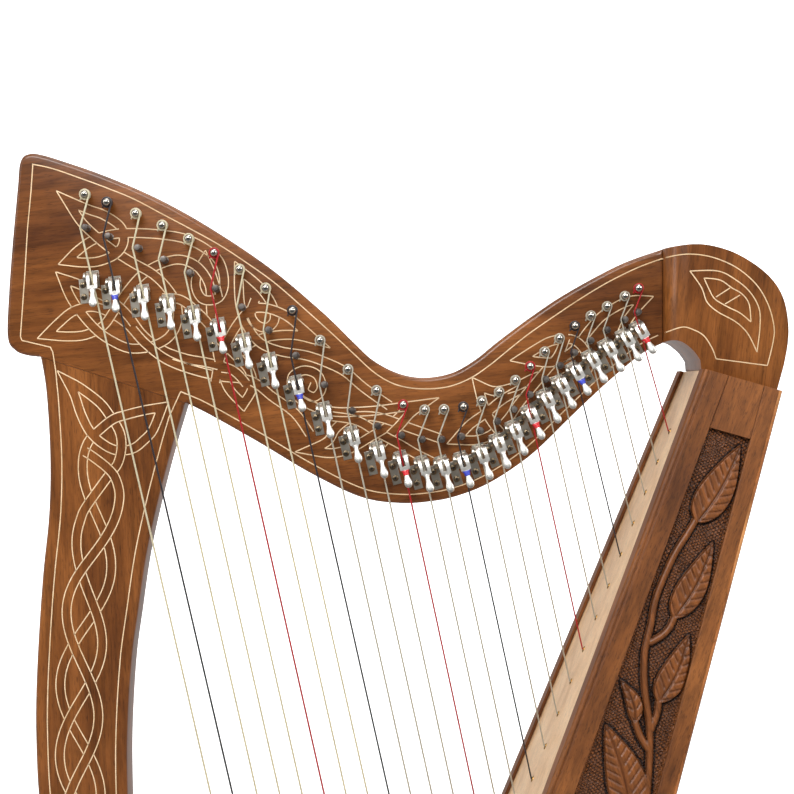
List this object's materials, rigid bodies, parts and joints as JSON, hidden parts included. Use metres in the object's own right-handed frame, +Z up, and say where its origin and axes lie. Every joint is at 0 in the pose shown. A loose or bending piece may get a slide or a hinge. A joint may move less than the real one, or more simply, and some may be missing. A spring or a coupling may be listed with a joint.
{
  "type": "lever harp",
  "caption": "Floor or lap lever harp with a curved neck, pillar and tapered soundbox, nylon strings over bridge pins, and a hinged sharpening lever on each string.",
  "frame": {"origin": "centre of the whole harp seen from above, at the level of the feet", "axes": "+Z up, +X from the pillar to the soundbox, so the strings lie near the XZ plane; -Y is the side with the levers and tuning pins' strings"},
  "size_m": [0.5248, 0.306, 0.865],
  "materials": {
    "walnut_neck": "gloss lacquer over walnut, light maple line inlay",
    "walnut": "gloss lacquer over walnut",
    "walnut_carved": "carved relief, dark stain, satin lacquer",
    "spruce": "satin lacquer",
    "maple": "unfinished",
    "string": "nylon; C strings red, F strings black",
    "steel_bolt": "zinc plated",
    "rubber_foot": "matte",
    "chrome_lever": "polished; red and blue bands on some"
  },
  "bodies": {
    "harp": {"neck": "walnut_neck", "pillar": "walnut", "shoulder_block": "walnut", "soundboard": "spruce", "string_band": "string", "front_rail_left": "walnut", "front_rail_right": "walnut", "back_rail_left": "walnut", "back_rail_right": "walnut", "side_panel_left": "walnut_carved", "side_panel_right": "walnut_carved", "back_panel": "walnut", "top_block": "walnut", "bottom_block": "walnut", "brace_upper": "maple", "brace_lower": "maple", "base": "walnut", "foot_front_left": "rubber_foot", "foot_front_right": "rubber_foot", "foot_back_left": "rubber_foot", "foot_back_right": "rubber_foot", "dowel_pillar_a": "maple", "dowel_pillar_b": "maple", "dowel_shoulder_a": "maple", "dowel_shoulder_b": "maple", "pillar_bolt": "steel_bolt", "shoulder_bolt": "steel_bolt", "box_bolt_left": "steel_bolt", "box_bolt_right": "steel_bolt"},
    "lever_01_body": {"lever_01": "chrome_lever"},
    "lever_02_body": {"lever_02": "chrome_lever"},
    "lever_03_body": {"lever_03": "chrome_lever"},
    "lever_04_body": {"lever_04": "chrome_lever"},
    "lever_05_body": {"lever_05": "chrome_lever"},
    "lever_06_body": {"lever_06": "chrome_lever"},
    "lever_07_body": {"lever_07": "chrome_lever"},
    "lever_08_body": {"lever_08": "chrome_lever"},
    "lever_09_body": {"lever_09": "chrome_lever"},
    "lever_10_body": {"lever_10": "chrome_lever"},
    "lever_11_body": {"lever_11": "chrome_lever"},
    "lever_12_body": {"lever_12": "chrome_lever"},
    "lever_13_body": {"lever_13": "chrome_lever"},
    "lever_14_body": {"lever_14": "chrome_lever"},
    "lever_15_body": {"lever_15": "chrome_lever"},
    "lever_16_body": {"lever_16": "chrome_lever"},
    "lever_17_body": {"lever_17": "chrome_lever"},
    "lever_18_body": {"lever_18": "chrome_lever"},
    "lever_19_body": {"lever_19": "chrome_lever"},
    "lever_20_body": {"lever_20": "chrome_lever"},
    "lever_21_body": {"lever_21": "chrome_lever"},
    "lever_22_body": {"lever_22": "chrome_lever"},
    "lever_23_body": {"lever_23": "chrome_lever"},
    "lever_24_body": {"lever_24": "chrome_lever"},
    "lever_25_body": {"lever_25": "chrome_lever"},
    "lever_26_body": {"lever_26": "chrome_lever"},
    "lever_27_body": {"lever_27": "chrome_lever"}
  },
  "joints": [
    {"name": "lever_01_flip", "type": "hinge", "parent": "harp", "child": "lever_01_body", "pos_m": [-0.20314, -0.01936, 0.78085], "axis": [-0.9962, 0, -0.0872], "range_deg": [0, 90]},
    {"name": "lever_02_flip", "type": "hinge", "parent": "harp", "child": "lever_02_body", "pos_m": [-0.18813, -0.01938, 0.77718], "axis": [-0.9947, 0, -0.1029], "range_deg": [0, 90]},
    {"name": "lever_03_flip", "type": "hinge", "parent": "harp", "child": "lever_03_body", "pos_m": [-0.169, -0.01942, 0.77172], "axis": [-0.9921, 0, -0.1254], "range_deg": [0, 90]},
    {"name": "lever_04_flip", "type": "hinge", "parent": "harp", "child": "lever_04_body", "pos_m": [-0.15186, -0.01942, 0.76529], "axis": [-0.989, 0, -0.1478], "range_deg": [0, 90]},
    {"name": "lever_05_flip", "type": "hinge", "parent": "harp", "child": "lever_05_body", "pos_m": [-0.13473, -0.01942, 0.75765], "axis": [-0.9855, 0, -0.1695], "range_deg": [0, 90]},
    {"name": "lever_06_flip", "type": "hinge", "parent": "harp", "child": "lever_06_body", "pos_m": [-0.11776, -0.01944, 0.74915], "axis": [-0.9816, 0, -0.1911], "range_deg": [0, 90]},
    {"name": "lever_07_flip", "type": "hinge", "parent": "harp", "child": "lever_07_body", "pos_m": [-0.10065, -0.01947, 0.73884], "axis": [-0.9781, 0, -0.2079], "range_deg": [0, 90]},
    {"name": "lever_08_flip", "type": "hinge", "parent": "harp", "child": "lever_08_body", "pos_m": [-0.0832, -0.01949, 0.72557], "axis": [-0.9763, 0, -0.2164], "range_deg": [0, 90]},
    {"name": "lever_09_flip", "type": "hinge", "parent": "harp", "child": "lever_09_body", "pos_m": [-0.06533, -0.01951, 0.71035], "axis": [-0.9754, 0, -0.2202], "range_deg": [0, 90]},
    {"name": "lever_10_flip", "type": "hinge", "parent": "harp", "child": "lever_10_body", "pos_m": [-0.04648, -0.01951, 0.69243], "axis": [-0.9744, 0, -0.225], "range_deg": [0, 90]},
    {"name": "lever_11_flip", "type": "hinge", "parent": "harp", "child": "lever_11_body", "pos_m": [-0.02788, -0.01948, 0.67598], "axis": [-0.9727, 0, -0.2319], "range_deg": [0, 90]},
    {"name": "lever_12_flip", "type": "hinge", "parent": "harp", "child": "lever_12_body", "pos_m": [-0.01067, -0.01939, 0.66569], "axis": [-0.9708, 0, -0.2397], "range_deg": [0, 90]},
    {"name": "lever_13_flip", "type": "hinge", "parent": "harp", "child": "lever_13_body", "pos_m": [0.00529, -0.01927, 0.65928], "axis": [-0.9681, 0, -0.2504], "range_deg": [0, 90]},
    {"name": "lever_14_flip", "type": "hinge", "parent": "harp", "child": "lever_14_body", "pos_m": [0.0195, -0.01913, 0.65611], "axis": [-0.9645, 0, -0.2641], "range_deg": [0, 90]},
    {"name": "lever_15_flip", "type": "hinge", "parent": "harp", "child": "lever_15_body", "pos_m": [0.03277, -0.01901, 0.65603], "axis": [-0.9598, 0, -0.2806], "range_deg": [0, 90]},
    {"name": "lever_16_flip", "type": "hinge", "parent": "harp", "child": "lever_16_body", "pos_m": [0.04588, -0.01898, 0.65886], "axis": [-0.9537, 0, -0.3007], "range_deg": [0, 90]},
    {"name": "lever_17_flip", "type": "hinge", "parent": "harp", "child": "lever_17_body", "pos_m": [0.05833, -0.01898, 0.66409], "axis": [-0.9453, 0, -0.3262], "range_deg": [0, 90]},
    {"name": "lever_18_flip", "type": "hinge", "parent": "harp", "child": "lever_18_body", "pos_m": [0.06974, -0.01897, 0.67128], "axis": [-0.9348, 0, -0.355], "range_deg": [0, 90]},
    {"name": "lever_19_flip", "type": "hinge", "parent": "harp", "child": "lever_19_body", "pos_m": [0.08062, -0.01894, 0.68009], "axis": [-0.9239, 0, -0.3827], "range_deg": [0, 90]},
    {"name": "lever_20_flip", "type": "hinge", "parent": "harp", "child": "lever_20_body", "pos_m": [0.09143, -0.01891, 0.69051], "axis": [-0.9125, 0, -0.4091], "range_deg": [0, 90]},
    {"name": "lever_21_flip", "type": "hinge", "parent": "harp", "child": "lever_21_body", "pos_m": [0.1019, -0.01886, 0.70121], "axis": [-0.9008, 0, -0.4343], "range_deg": [0, 90]},
    {"name": "lever_22_flip", "type": "hinge", "parent": "harp", "child": "lever_22_body", "pos_m": [0.11166, -0.01876, 0.7107], "axis": [-0.891, 0, -0.454], "range_deg": [0, 90]},
    {"name": "lever_23_flip", "type": "hinge", "parent": "harp", "child": "lever_23_body", "pos_m": [0.12152, -0.01862, 0.7195], "axis": [-0.8849, 0, -0.4658], "range_deg": [0, 90]},
    {"name": "lever_24_flip", "type": "hinge", "parent": "harp", "child": "lever_24_body", "pos_m": [0.13242, -0.01846, 0.7277], "axis": [-0.8814, 0, -0.4723], "range_deg": [0, 90]},
    {"name": "lever_25_flip", "type": "hinge", "parent": "harp", "child": "lever_25_body", "pos_m": [0.14351, -0.01826, 0.73511], "axis": [-0.8788, 0, -0.4772], "range_deg": [0, 90]},
    {"name": "lever_26_flip", "type": "hinge", "parent": "harp", "child": "lever_26_body", "pos_m": [0.15533, -0.01793, 0.74206], "axis": [-0.8766, 0, -0.4811], "range_deg": [0, 90]},
    {"name": "lever_27_flip", "type": "hinge", "parent": "harp", "child": "lever_27_body", "pos_m": [0.16478, -0.01748, 0.74723], "axis": [-0.8754, 0, -0.4834], "range_deg": [0, 90]}
  ]
}
